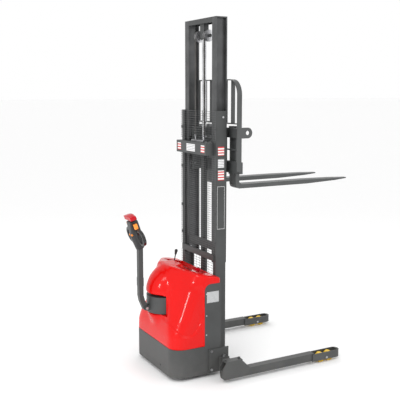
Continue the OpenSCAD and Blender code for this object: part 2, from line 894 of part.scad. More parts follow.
module leg(side) {
    top = sleeve_z + sleeve + 10;
    fork_rear = bogie_y - roller_pitch - 60;
    mid = leg_out - leg_w / 2;
    slot = roller_w + 22;
    at_mast() mirror([side < 0 ? 1 : 0, 0, 0]) {
        difference() {
            union() {
                box(leg_in, leg_out, -74, fork_rear + 20, leg_z, leg_z + leg_h);
                leg_side_plate(leg_out - leg_plate, leg_out);
                leg_side_plate(leg_in, leg_in + leg_plate);
                box(leg_in, leg_out, -62, 92, top, top + 8);
                box(arm_in, leg_out - 1, sleeve_y - arm / 2, sleeve_y + arm / 2, arm_z, arm_z + arm);
                // Fork around the load rollers, with a round nose
                box(mid - nose_w / 2, mid + nose_w / 2, fork_rear, leg_reach - nose_w / 2, 24, 88);
                rod_z(nose_w / 2, 24, 88, mid, leg_reach - nose_w / 2);
            }
            box(mid - slot / 2, mid + slot / 2, fork_rear + 25, leg_reach - 22, 20, 90);
            box(arm_in - 1, leg_in - 20, sleeve_y - arm / 2 + 6, sleeve_y + arm / 2 - 6, arm_z + 6,
                arm_z + arm - 6);
            box(leg_in + leg_plate, leg_out - leg_plate, 70, fork_rear - 20, leg_z + 5, leg_z + leg_h - 5);
            rod_x(bogie_axle_r + 0.05, mid - nose_w / 2 - 1, mid + nose_w / 2 + 1, bogie_y, axle_z);
        }
        // Clamp bolts
        for (y = [-48, 78]) {
            rod_z(11, top + 8, top + 12, mid, y);
            translate([mid, y, top + 12]) cylinder(h = 8, r = 11, $fn = 6);
        }
    }
}

module leg_left() {
    color(steel) leg(-1);
}

module leg_right() {
    color(steel) leg(1);
}

// Two side plates on a pivot axle carry the pair of load rollers
module bogie(side) {
    mid = leg_out - leg_w / 2;
    inner = roller_w / 2 + 1;
    plate = 7;
    at_mast() mirror([side < 0 ? 1 : 0, 0, 0]) translate([mid, bogie_y, axle_z]) {
        for (turn = [0, 1]) {
            mirror([turn, 0, 0]) {
                box(inner, inner + plate, -roller_pitch / 2, roller_pitch / 2, -13, 13);
                rod_x(bogie_axle_r, inner + 1, nose_w / 2 + 2, 0, 0);
                for (end = [-1, 1]) {
                    rod_x(13, inner, inner + plate, end * roller_pitch / 2, 0);
                }
            }
        }
        for (end = [-1, 1]) {
            rod_x(8, -inner - 1, inner + 1, end * roller_pitch / 2, 0);
        }
    }
}

module bogie_left() {
    color(bright) bogie(-1);
}

module bogie_right() {
    color(bright) bogie(1);
}

module load_roller(side, end) {
    mid = leg_out - leg_w / 2;
    at_mast() color("gold") translate([side * mid, bogie_y + end * roller_pitch / 2, axle_z])
        rotate([0, 90, 0]) difference() {
            translate([0, 0, -roller_w / 2]) cylinder(h = roller_w, r = roller_d / 2, $fn = 96);
            translate([0, 0, -roller_w]) cylinder(h = 2 * roller_w, r = 8.05);
        }
}

module load_roller_left_rear() {
    load_roller(-1, -1);
}

module load_roller_left_front() {
    load_roller(-1, 1);
}

module load_roller_right_rear() {
    load_roller(1, -1);
}

module load_roller_right_front() {
    load_roller(1, 1);
}

// ---- steering ----

// Drum that turns with the drive wheel and carries the tiller
module steering_drum() {
    ear = 8;
    ear_in = tube_x / 2 + 1;
    at_mast() color(steel) {
        difference() {
            union() {
                rod_z(drum_r, drum_z, drum_z + drum_h, 0, axis_y);
                both_sides() {
                    box(ear_in, ear_in + ear, pivot_y, axis_y - drum_r + 12, pivot_z - 20, pivot_z + 20);
                    rod_x(20, ear_in, ear_in + ear, pivot_y, pivot_z);
                }
            }
            rod_z(drum_r - drum_wall, drum_z - 1, drum_z + drum_h - drum_wall, 0, axis_y);
            rod_x(pivot_r + 0.05, -60, 60, pivot_y, pivot_z);
        }
    }
}

// Gearbox and motor that hold the drive wheel
module drive_unit() {
    half = drive_w / 2;
    flange_z = turret_z + turret_t + 0.3;
    at_mast() color("dimgray") {
        rod_z(neck_r - 0.4, turret_z - 18, flange_z + 1, 0, axis_y);
        rod_z(neck_r + 12, flange_z, flange_z + 12, 0, axis_y);
        rod_z(motor_r, flange_z + 12, drum_z + drum_h - drum_wall, 0, axis_y);
        box(half + 4, half + 34, axis_y - 42, axis_y + 42, drive_r - 40, turret_z - 17);
        rod_x(42, half + 4, half + 34, axis_y, drive_r);
        rod_x(14, -half + 6, half + 6, axis_y, drive_r);
    }
}

module drive_wheel() {
    half = drive_w / 2;
    at_mast() color(dark) translate([0, axis_y, drive_r]) rotate([0, 90, 0]) difference() {
        translate([0, 0, -half]) cylinder(h = drive_w, r = drive_r, $fn = 128);
        translate([0, 0, -half - 1]) cylinder(h = drive_w + 2, r = 14.06);
        translate([0, 0, -half - 1]) cylinder(h = 13, r = drive_r - 26);
    }
}

// Rectangular tube that bends forward to the pivot on the drum
module tiller_arm() {
    at_mast() color(steel) difference() {
        union() {
            box(-tube_x / 2, tube_x / 2, tube_y - tube_d / 2, tube_y + tube_d / 2, bend_z - 1,
                tiller_top + 14);
            box(-tube_x / 2 - 2, tube_x / 2 + 2, tube_y - tube_d / 2 - 2, tube_y + tube_d / 2 + 2,
                bend_z, joint_z);
            plate_yz(-tube_x / 2, tube_x / 2) polygon([
                [tube_y - tube_d / 2, bend_z], [tube_y - tube_d / 2, bend_z - 80],
                [tube_y - tube_d / 2 + 10, bend_z - 130], [pivot_y - 22, pivot_z - 12],
                [pivot_y - 8, pivot_z - 20], [pivot_y + 16, pivot_z - 14], [pivot_y + 20, pivot_z + 8],
                [tube_y + tube_d / 2 + 12, bend_z - 122], [tube_y + tube_d / 2, bend_z - 80],
                [tube_y + tube_d / 2, bend_z]
            ]);
        }
        rod_x(pivot_r + 0.05, -60, 60, pivot_y, pivot_z);
    }
}

module tiller_pin() {
    half = tube_x / 2 + 12;
    at_mast() color(bright) {
        rod_x(pivot_r, -half, half, pivot_y, pivot_z);
        both_sides() translate([half, pivot_y, pivot_z]) rotate([0, 90, 0])
            cylinder(h = 6, r = 12, $fn = 6);
    }
}

// Frame of the tiller's head: X across, Z up the leaning head
module at_head() {
    at_mast() translate([0, tube_y, tiller_top]) rotate([head_lean, 0, 0]) children();
}

module grip_loop() {
    wide = head_w / 2 - loop_in;
    r = wide / 2;
    translate([loop_in + r, loop_t / 2 - 2, loop_low]) rotate([90, 0, 0]) linear_extrude(loop_t)
        difference() {
        union() {
            translate([0, r]) circle(r = r);
            translate([0, loop_tall - r]) circle(r = r);
            translate([-r, r]) square([2 * r, loop_tall - 2 * r]);
        }
        translate([0, r]) circle(r = r - loop_bar);
        translate([0, loop_tall - r]) circle(r = r - loop_bar);
        translate([-r + loop_bar, r]) square([2 * (r - loop_bar), loop_tall - 2 * r]);
    }
}

module tiller_head() {
    at_head() color(dark) difference() {
        union() {
            hull() {
                translate([0, 0, -16]) cylinder(h = 20, r = 36, $fn = 32);
                translate([0, 0, 90]) sphere(r = 50, $fn = 32);
                translate([-42, -34, 80]) cube([84, 66, head_top - 80]);
            }
            both_sides() grip_loop();
        }
        // Socket of the tiller's tube
        box(-tube_x / 2, tube_x / 2, -tube_d / 2 - 6, tube_d / 2 + 6, -17, 21);
        // Bore of the throttle's shaft, pocket of the cap's stem, wells of the buttons
        rod_x(throttle_r + 0.1, -60, 60, throttle_y, throttle_z);
        box(-12.4, 12.4, -14.4, 2.4, stem_low - stem_travel, head_top + 1);
        for (side = [-1, 1]) {
            rod_y(9.4, -51, -21, side * 20, 120);
        }
    }
}

module throttle() {
    at_head() color("orange") {
        rod_x(throttle_r, -80, 80, throttle_y, throttle_z);
        both_sides() box(56, 82, throttle_y - 14, throttle_y + 14, throttle_z - 22, throttle_z + 22);
    }
}

module belly_button() {
    at_head() color("red") {
        box(-70, 70, -cap_back, 24, head_h, head_h + cap_h);
        box(-12, 12, -14, 2, stem_low, head_h + 1);
    }
}

module head_button(side) {
    at_head() translate([side * 20, -46, 120]) rotate([-90, 0, 0]) cylinder(h = 18, r = 9);
}

module raise_button() {
    color("orange") head_button(1);
}

module lower_button() {
    color("orange") head_button(-1);
}

// ---- casters ----

module caster(side) {
    half = 17;
    at_mast() translate([side * caster_x, caster_y, 0]) {
        rod_z(9.95, floor_z - 9, floor_z + floor_t, 0, 0);
        rod_z(26, floor_z - 15, floor_z - 0.3, 0, 0);
        box(-half - 4, half + 4, -caster_trail - 14, 26, floor_z - 25, floor_z - 15);
        both_sides() box(half, half + 4, -caster_trail - 14, 14, caster_r - 12, floor_z - 20);
        rod_x(6, -half - 1, half + 1, -caster_trail, caster_r);
    }
}

module caster_left() {
    color(bright) caster(-1);
}

module caster_right() {
    color(bright) caster(1);
}

module caster_wheel(side) {
    at_mast() translate([side * caster_x, caster_y - caster_trail, caster_r]) rotate([0, 90, 0])
        difference() {
            translate([0, 0, -16]) cylinder(h = 32, r = caster_r, $fn = 96);
            translate([0, 0, -17]) cylinder(h = 34, r = 6.05);
        }
}

module caster_wheel_left() {
    color(dark) caster_wheel(-1);
}

module caster_wheel_right() {
    color(dark) caster_wheel(1);
}

chassis();
hood();
tray_cover();
battery();
pump_unit();
motor_controller();
hydraulic_line();
lift_cylinder();
outer_mast_left();
outer_mast_right();
mast_crossbar();
label_beam();
mesh_guard();
guard_clips();
chain_anchors();
leg_sleeve();
sleeve_bolts();
data_plate();
hydraulic_lever();
stop_button();
mast_rollers_upper();
inner_mast_left();
inner_mast_right();
inner_crossmembers();
sheave_bracket();
piston_rod();
mast_rollers_lower();
sheave_left();
sheave_right();
chain_left();
chain_right();
carriage();
backrest();
lifting_lugs();
carriage_rollers_upper();
carriage_rollers_lower();
fork_left();
fork_right();
leg_left();
leg_right();
bogie_left();
bogie_right();
load_roller_left_rear();
load_roller_left_front();
load_roller_right_rear();
load_roller_right_front();
steering_drum();
drive_unit();
drive_wheel();
tiller_arm();
tiller_head();
throttle();
belly_button();
raise_button();
lower_button();
tiller_pin();
caster_left();
caster_right();
caster_wheel_left();
caster_wheel_right();
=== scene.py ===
import math

import bpy
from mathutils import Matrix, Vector


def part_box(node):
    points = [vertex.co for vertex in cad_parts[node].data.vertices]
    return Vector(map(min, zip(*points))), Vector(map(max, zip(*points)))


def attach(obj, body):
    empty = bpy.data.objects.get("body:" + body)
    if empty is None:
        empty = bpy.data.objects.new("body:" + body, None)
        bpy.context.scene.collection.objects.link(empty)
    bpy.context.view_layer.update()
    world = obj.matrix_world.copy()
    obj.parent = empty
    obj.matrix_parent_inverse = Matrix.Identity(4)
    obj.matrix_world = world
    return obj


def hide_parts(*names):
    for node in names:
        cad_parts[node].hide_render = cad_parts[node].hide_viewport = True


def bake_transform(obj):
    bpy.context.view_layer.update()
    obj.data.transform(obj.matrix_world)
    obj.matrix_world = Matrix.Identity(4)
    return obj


bl_info = {
    "name": "Walkie stacker",
    "version": (1, 0, 0),
    "blender": (4, 5, 0),
    "location": "View3D > Sidebar > Stacker",
    "description": "Finishes and fine pieces of a walk-behind stacker on its packed frame",
    "category": "Object",
}

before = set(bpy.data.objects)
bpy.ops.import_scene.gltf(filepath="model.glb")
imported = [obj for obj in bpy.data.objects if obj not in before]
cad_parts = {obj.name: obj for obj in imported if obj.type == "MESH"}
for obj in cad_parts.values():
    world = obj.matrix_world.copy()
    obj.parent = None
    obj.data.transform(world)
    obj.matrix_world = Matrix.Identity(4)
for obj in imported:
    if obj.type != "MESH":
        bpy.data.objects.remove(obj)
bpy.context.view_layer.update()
MAST_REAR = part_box("outer_mast_right")[0].y
MAST_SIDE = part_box("outer_mast_right")[1].x
DRUM_LOW, DRUM_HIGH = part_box("steering_drum")
DRUM_Y = DRUM_HIGH.y - (DRUM_HIGH.x - DRUM_LOW.x) / 2
DRUM_R = (DRUM_HIGH.x - DRUM_LOW.x) / 2
BODY_LOW, BODY_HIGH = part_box("chassis")
HOOD_LOW, HOOD_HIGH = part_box("hood")
PANEL_TOP = BODY_HIGH.z
BEAM_LOW, BEAM_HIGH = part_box("label_beam")
# Degrees that the tiller's head leans back
HEAD_LEAN = 17
# The hood's rim: its height at the mast, and its fall for each metre towards the mast
HOOD_FRONT_H = 0.817
HOOD_FALL = 0.246


# ---- shader maths ----

class Value:
    """A socket that adds Math nodes when it is used in an expression."""

    def __init__(self, maker, socket):
        self.maker, self.socket = maker, socket

    def _math(self, kind, first, second):
        return self.maker.add("ShaderNodeMath", {"operation": kind}, [first, second])

    def __add__(self, other):
        return self._math("ADD", self, other)

    def __radd__(self, other):
        return self._math("ADD", other, self)

    def __sub__(self, other):
        return self._math("SUBTRACT", self, other)

    def __rsub__(self, other):
        return self._math("SUBTRACT", other, self)

    def __mul__(self, other):
        return self._math("MULTIPLY", self, other)

    def __rmul__(self, other):
        return self._math("MULTIPLY", other, self)

    def __gt__(self, other):
        return self._math("GREATER_THAN", self, other)

    def fraction(self):
        return self._math("FRACT", self, 0.0)


class Finish:
    """Builds one material from nodes."""

    def __init__(self, name, **constants):
        self.material = bpy.data.materials.new(name)
        self.material.use_nodes = True
        self.tree = self.material.node_tree
        self.shader = self.tree.nodes["Principled BSDF"]
        for key, value in constants.items():
            self.shader.inputs[key.replace("_", " ")].default_value = value

    def link(self, source, target):
        if isinstance(source, Value):
            self.tree.links.new(source.socket, target)
        elif hasattr(source, "__len__") and len(source) == 3 and target.type == "RGBA":
            target.default_value = (*source, 1.0)
        else:
            target.default_value = source

    def add(self, kind, settings, inputs, output=0):
        node = self.tree.nodes.new(kind)
        for key, value in settings.items():
            setattr(node, key, value)
        pairs = inputs.items() if isinstance(inputs, dict) else enumerate(inputs)
        for key, value in pairs:
            self.link(value, node.inputs[key])
        return Value(self, node.outputs[output])

    def place(self):
        return self.add("ShaderNodeTexCoord", {}, {}, "Object")

    def axes(self):
        node = self.tree.nodes.new("ShaderNodeSeparateXYZ")
        self.link(self.place(), node.inputs[0])
        return [Value(self, node.outputs[i]) for i in range(3)]

    def noise(self, scale, detail=4.0, rough=0.5, stretch=None):
        where = self.place()
        if stretch:
            where = self.add("ShaderNodeMapping", {}, {"Vector": where, "Scale": stretch})
        return self.add("ShaderNodeTexNoise", {}, {"Vector": where, "Scale": scale, "Detail": detail,
                                                    "Roughness": rough}, "Fac")

    def spread(self, value, low, high, to_low, to_high):
        return self.add("ShaderNodeMapRange", {"clamp": True},
                        {"Value": value, "From Min": low, "From Max": high, "To Min": to_low,
                         "To Max": to_high})

    def mix(self, factor, first, second):
        node = self.tree.nodes.new("ShaderNodeMix")
        node.data_type = "RGBA"
        self.link(factor, node.inputs[0])
        self.link(first, node.inputs[6])
        self.link(second, node.inputs[7])
        return Value(self, node.outputs[2])

    def surface(self, socket, value):
        self.link(value, self.shader.inputs[socket])

    def bump(self, height, strength, distance):
        self.surface("Normal", self.add("ShaderNodeBump", {}, {"Strength": strength, "Distance": distance,
                                                               "Height": height}))


def powder_coat(name, tone, rough=0.42):
    """Textured powder coat: fine pebble, slight cloudiness, dust near the floor."""
    made = Finish(name, Metallic=0.0, Specular_IOR_Level=0.45)
    cloud = made.noise(3.2, 5.0, 0.6)
    fine = made.noise(420.0, 2.0, 0.5)
    dust = made.spread(made.axes()[2], 0.0, 0.35, 0.22, 0.0) * made.spread(cloud, 0.35, 0.65, 0.3, 1.0)
    light = tuple(c * 1.22 for c in tone)
    deep = tuple(c * 0.82 for c in tone)
    coat = made.mix(made.spread(cloud, 0.3, 0.7, 0.0, 1.0), deep, light)
    made.surface("Base Color", made.mix(dust, coat, (0.2, 0.19, 0.175)))
    made.surface("Roughness", made.spread(fine + cloud * 0.5, 0.5, 1.1, rough - 0.06, rough + 0.1) + dust * 0.5)
    made.bump(fine + made.noise(95.0, 3.0, 0.5) * 0.6, 0.22, 0.0006)
    return made.material


def gloss_moulding(name, tone, coat=0.8, rough=0.2):
    """Glossy painted moulding with faint orange peel and rub marks."""
    made = Finish(name, Coat_Roughness=0.06, Specular_IOR_Level=0.08)
    cloud = made.noise(2.4, 4.0, 0.55)
    scuff = made.noise(26.0, 6.0, 0.65, (1.0, 1.0, 3.5))
    marks = made.spread(scuff, 0.66, 0.76, 0.0, 1.0)
    made.surface("Base Color", made.mix(made.spread(cloud, 0.3, 0.7, 0.0, 1.0), tuple(c * 0.88 for c in tone), tone))
    made.surface("Roughness", made.spread(cloud, 0.3, 0.7, rough - 0.04, rough + 0.05) + marks * 0.16)
    made.surface("Coat Weight", coat - marks * 0.3)
    made.bump(made.noise(150.0, 2.0, 0.4), 0.05, 0.0005)
    return made.material


def bare_steel(name, tone, rough, stretch, metallic=1.0):
    """Steel with drawn or rolled streaks along one axis and patchy oil film."""
    made = Finish(name)
    streak = made.noise(60.0, 6.0, 0.6, stretch)
    patch = made.noise(7.0, 5.0, 0.6)
    made.surface("Base Color", made.mix(made.spread(patch, 0.35, 0.7, 0.0, 1.0), tuple(c * 0.62 for c in tone), tone))
    made.surface("Metallic", made.spread(patch, 0.2, 0.8, metallic, metallic * 0.85))
    made.surface("Roughness", made.spread(streak, 0.3, 0.7, rough - 0.08, rough + 0.12))
    made.bump(streak, 0.12, 0.0004)
    return made.material


def tyre(name, tone, rough):
    """Cast tyre with a scuffed tread and a fine grain."""
    made = Finish(name, Specular_IOR_Level=0.4)
    wear = made.noise(38.0, 6.0, 0.65)
    made.surface("Base Color", made.mix(made.spread(wear, 0.4, 0.7, 0.0, 1.0), tone, tuple(c * 0.6 for c in tone)))
    made.surface("Roughness", made.spread(wear, 0.3, 0.7, rough - 0.08, rough + 0.14))
    made.bump(wear + made.noise(240.0, 2.0, 0.5) * 0.5, 0.25, 0.0008)
    return made.material


def moulded_plastic(name, tone, rough, grain=520.0, strength=0.18):
    """Injection-moulded plastic with a spark-eroded grain."""
    made = Finish(name, Specular_IOR_Level=0.5)
    grainy = made.noise(grain, 2.0, 0.5)
    soft = made.noise(9.0, 4.0, 0.55)
    paler = tuple(c * 1.25 + 0.004 for c in tone)
    made.surface("Base Color", made.mix(made.spread(soft, 0.35, 0.65, 0.0, 1.0), tone, paler))
    made.surface("Roughness", made.spread(soft, 0.3, 0.7, rough - 0.05, rough + 0.07))
    made.bump(grainy, strength, 0.0004)
    return made.material


def banded_label(name, ground, ink, axis, pitch, cover=0.5):
    """Printed label with plain bars in place of lettering."""
    made = Finish(name, Specular_IOR_Level=0.4)
    along = made.axes()[axis]
    bars = (along * (1.0 / pitch)).fraction() > cover
    worn = made.spread(made.noise(70.0, 5.0, 0.6), 0.62, 0.72, 0.0, 0.5)
    made.surface("Base Color", made.mix(worn, made.mix(bars, ground, ink), tuple(c * 0.7 for c in ground)))
    made.surface("Roughness", made.spread(made.noise(20.0, 3.0, 0.5), 0.3, 0.7, 0.3, 0.45))
    return made.material


FINISHES = {}


def make_finishes(settings):
    steel = tuple(settings.steel_colour)
    red = tuple(settings.hood_colour)
    FINISHES.update(
        coat=powder_coat("charcoal_powder_coat", steel),
        coat_light=powder_coat("fork_powder_coat", tuple(c * 1.35 for c in steel), 0.46),
        # the steel coat darkened to 0.72 for the inner parts: painted shade for the dark inside of the mast and the
        # space under the chassis
        coat_dark=powder_coat("inner_powder_coat_painted_shade", tuple(c * 0.72 for c in steel), 0.4),
        red=gloss_moulding("signal_red_moulding", red, 0.34, 0.24),
        tray=gloss_moulding("tray_red", tuple(c * 0.85 for c in red), 0.8, 0.2),
        zinc=bare_steel("zinc_plate", (0.62, 0.62, 0.64), 0.32, (1.0, 1.0, 1.0)),
        rolled=bare_steel("rolled_steel", (0.1, 0.102, 0.104), 0.4, (9.0, 9.0, 0.25), 0.55),
        chrome=bare_steel("hard_chrome", (0.86, 0.86, 0.88), 0.12, (1.0, 1.0, 12.0)),
        chain=bare_steel("oiled_chain_steel", (0.13, 0.125, 0.12), 0.4, (4.0, 4.0, 1.0), 0.9),
        black=moulded_plastic("black_grip_plastic", (0.012, 0.012, 0.013), 0.26, 600.0, 0.08),
        black_matt=moulded_plastic("black_housing_plastic", (0.018, 0.018, 0.019), 0.5),
        orange=moulded_plastic("orange_paddle_plastic", (0.86, 0.27, 0.03), 0.28, 500.0, 0.06),
        cap=gloss_moulding("cap_red", (0.5, 0.003, 0.012), 0.4, 0.22),
        yellow=tyre("amber_polyurethane", (0.86, 0.55, 0.02), 0.38),
        rubber=tyre("black_rubber", (0.02, 0.02, 0.021), 0.62),
        wire=powder_coat("guard_wire_coat", (0.075, 0.078, 0.08), 0.4),
        plate=banded_label("data_plate_print", (0.56, 0.57, 0.57), (0.26, 0.27, 0.28), 2, 0.009, 0.62),
        warn=banded_label("warning_print", (0.82, 0.8, 0.79), (0.62, 0.03, 0.03), 2, 0.022, 0.55),
        white=banded_label("capacity_print", (0.8, 0.8, 0.8), (0.22, 0.22, 0.23), 2, 0.013, 0.72),
    )


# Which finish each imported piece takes, by piece name
PACKED = {
    "coat": ["chassis", "outer_mast_left", "outer_mast_right", "mast_crossbar", "leg_sleeve", "leg_left",
             "leg_right", "steering_drum", "tiller_arm", "label_beam"],
    "coat_light": ["fork_left", "fork_right", "backrest", "lifting_lugs", "carriage"],
    # parts inside the mast and under the chassis take the darker copy of the steel coat, which is painted shade
    "coat_dark": ["inner_crossmembers", "sheave_bracket", "lift_cylinder", "guard_clips", "drive_unit"],
    "rolled": ["inner_mast_left", "inner_mast_right"],
    "tray": ["tray_cover"],
    "cap": ["stop_button"],
    "zinc": ["pump_unit", "motor_controller", "hydraulic_line", "chain_anchors", "sleeve_bolts",
             "mast_rollers_upper", "mast_rollers_lower", "sheave_left", "sheave_right",
             "carriage_rollers_upper", "carriage_rollers_lower", "bogie_left", "bogie_right", "tiller_pin",
             "caster_left", "caster_right"],
    "chrome": ["piston_rod"],
    "black_matt": ["battery", "hydraulic_lever"],
    "yellow": ["load_roller_left_rear", "load_roller_left_front", "load_roller_right_rear",
               "load_roller_right_front"],
    "rubber": ["drive_wheel", "caster_wheel_left", "caster_wheel_right"],
    "orange": ["raise_button", "lower_button"],
    "plate": ["data_plate"],
}


# ---- modelling helpers ----

def clear_selection():
    bpy.ops.object.select_all(action="DESELECT")


def only(piece):
    clear_selection()
    piece.select_set(True)
    bpy.context.view_layer.objects.active = piece


def settle(piece):
    """Puts the piece's place, turn and scale into its mesh."""
    only(piece)
    bpy.ops.object.transform_apply(location=True, rotation=True, scale=True)


def outward(piece):
    only(piece)
    bpy.ops.object.mode_set(mode="EDIT")
    bpy.ops.mesh.select_all(action="SELECT")
    bpy.ops.mesh.remove_doubles(threshold=0.00002)
    bpy.ops.mesh.normals_make_consistent(inside=False)
    bpy.ops.object.mode_set(mode="OBJECT")


def block(name, low, high, bevel=0.0, segments=2):
    """A bevelled block between two corners."""
    clear_selection()
    low, high = Vector(low), Vector(high)
    bpy.ops.mesh.primitive_cube_add(size=1.0, location=(low + high) / 2, scale=(high - low))
    piece = bpy.context.object
    piece.name = name
    settle(piece)
    if bevel:
        bpy.ops.object.mode_set(mode="EDIT")
        bpy.ops.mesh.select_all(action="SELECT")
        bpy.ops.mesh.bevel(offset=bevel, segments=segments, affect="EDGES")
        bpy.ops.object.mode_set(mode="OBJECT")
    return piece


def drum_shape(name, middle, radius, length, axis="Z", sides=48, bevel=0.0):
    """A cylinder along one axis, with bevelled rims."""
    clear_selection()
    turn = {"X": (0, math.pi / 2, 0), "Y": (math.pi / 2, 0, 0), "Z": (0, 0, 0)}[axis]
    bpy.ops.mesh.primitive_cylinder_add(vertices=sides, radius=radius, depth=length, location=middle,
                                        rotation=turn)
    piece = bpy.context.object
    piece.name = name
    settle(piece)
    if bevel:
        bpy.ops.object.mode_set(mode="EDIT")
        bpy.ops.mesh.select_all(action="DESELECT")
        bpy.ops.object.mode_set(mode="OBJECT")
        for face in piece.data.polygons:
            face.select = len(face.vertices) == sides
        bpy.ops.object.mode_set(mode="EDIT")
        bpy.ops.mesh.select_mode(type="FACE")
        bpy.ops.mesh.bevel(offset=bevel, segments=3, affect="EDGES")
        bpy.ops.object.mode_set(mode="OBJECT")
    return piece


def join(pieces, name):
    clear_selection()
    for piece in pieces:
        piece.select_set(True)
    bpy.context.view_layer.objects.active = pieces[0]
    if len(pieces) > 1:
        bpy.ops.object.join()
    joined = bpy.context.object
    joined.name = name
    return joined


def modify(piece, kind, **settings):
    only(piece)
    changer = piece.modifiers.new("step", kind)
    for key, value in settings.items():
        setattr(changer, key, value)
    bpy.ops.object.modifier_apply(modifier=changer.name)


def cut(piece, tool, operation="DIFFERENCE"):
    modify(piece, "BOOLEAN", operation=operation, object=tool, solver="EXACT")
    bpy.data.objects.remove(tool)


def copy_of(node, name):
    """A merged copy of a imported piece, free to be reshaped."""
    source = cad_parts[node]
    piece = bpy.data.objects.new(name, source.data.copy())
    bpy.context.scene.collection.objects.link(piece)
    outward(piece)
    return piece


def dress(piece, name, finish, body, angle=35, stands_for=()):
    """Names, finishes and fixes a piece to its body."""
    piece.name = name
    piece.data.materials.clear()
    piece.data.materials.append(FINISHES[finish])
    only(piece)
    bpy.ops.object.shade_smooth_by_angle(angle=math.radians(angle))
    if body:
        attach(piece, body)
    if stands_for:
        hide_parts(*stands_for)
    return piece


def at_front(y):
    """A distance from the mast's rear face, turned into the shared frame."""
    return MAST_REAR + y


# ---- sizes and colours that a user would change ----

class StackerSettings(bpy.types.PropertyGroup):
    steel_colour: bpy.props.FloatVectorProperty(name="Steel colour", description="Powder coat of the steel parts",
                                                subtype="COLOR", size=3, default=(0.05, 0.0525, 0.0525), min=0, max=1)
    hood_colour: bpy.props.FloatVectorProperty(name="Hood colour", description="Colour of the moulded hood",
                                               subtype="COLOR", size=3, default=(0.72, 0.004, 0.003), min=0, max=1)
    mesh_pitch: bpy.props.FloatProperty(name="Mesh pitch", description="Distance between the guard's level wires",
                                        default=0.0175, min=0.01, max=0.05, unit="LENGTH")
    post_pitch: bpy.props.FloatProperty(name="Post pitch", description="Distance between the guard's upright wires",
                                        default=0.05, min=0.03, max=0.15, unit="LENGTH")
    wire_radius: bpy.props.FloatProperty(name="Wire radius", description="Radius of a wire of the guard",
                                         default=0.00135, min=0.0008, max=0.003, unit="LENGTH")
    link_pitch: bpy.props.FloatProperty(name="Link pitch", description="Pitch of the lift chain's links",
                                        default=0.0159, min=0.012, max=0.02, unit="LENGTH")
    hood_voxel: bpy.props.FloatProperty(name="Hood detail", description="Grid size that rounds off the hood",
                                        default=0.0065, min=0.004, max=0.02, unit="LENGTH")


# ---- pieces ----

class STACKER_OT_finishes(bpy.types.Operator):
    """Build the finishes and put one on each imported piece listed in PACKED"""
    bl_idname = "stacker.finishes"
    bl_label = "Finishes"

    def execute(self, context):
        make_finishes(context.scene.stacker)
        for finish, names in PACKED.items():
            for name in names:
                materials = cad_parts[name].data.materials
                materials.clear()
                materials.append(FINISHES[finish])
        return {"FINISHED"}


def round_post(name, x, y, low, high, radius, sides=40):
    return drum_shape(name, (x, y, (low + high) / 2), radius, high - low, "Z", sides)


def hull_of(pieces, name):
    """One closed skin stretched round several pieces."""
    piece = join(pieces, name)
    bpy.ops.object.mode_set(mode="EDIT")
    bpy.ops.mesh.select_all(action="SELECT")
    bpy.ops.mesh.convex_hull()
    bpy.ops.object.mode_set(mode="OBJECT")
    return piece


def hood_top(y):
    """Height of the hood's rim at one place along the machine."""
    return HOOD_FRONT_H - HOOD_FALL * (y - MAST_REAR)


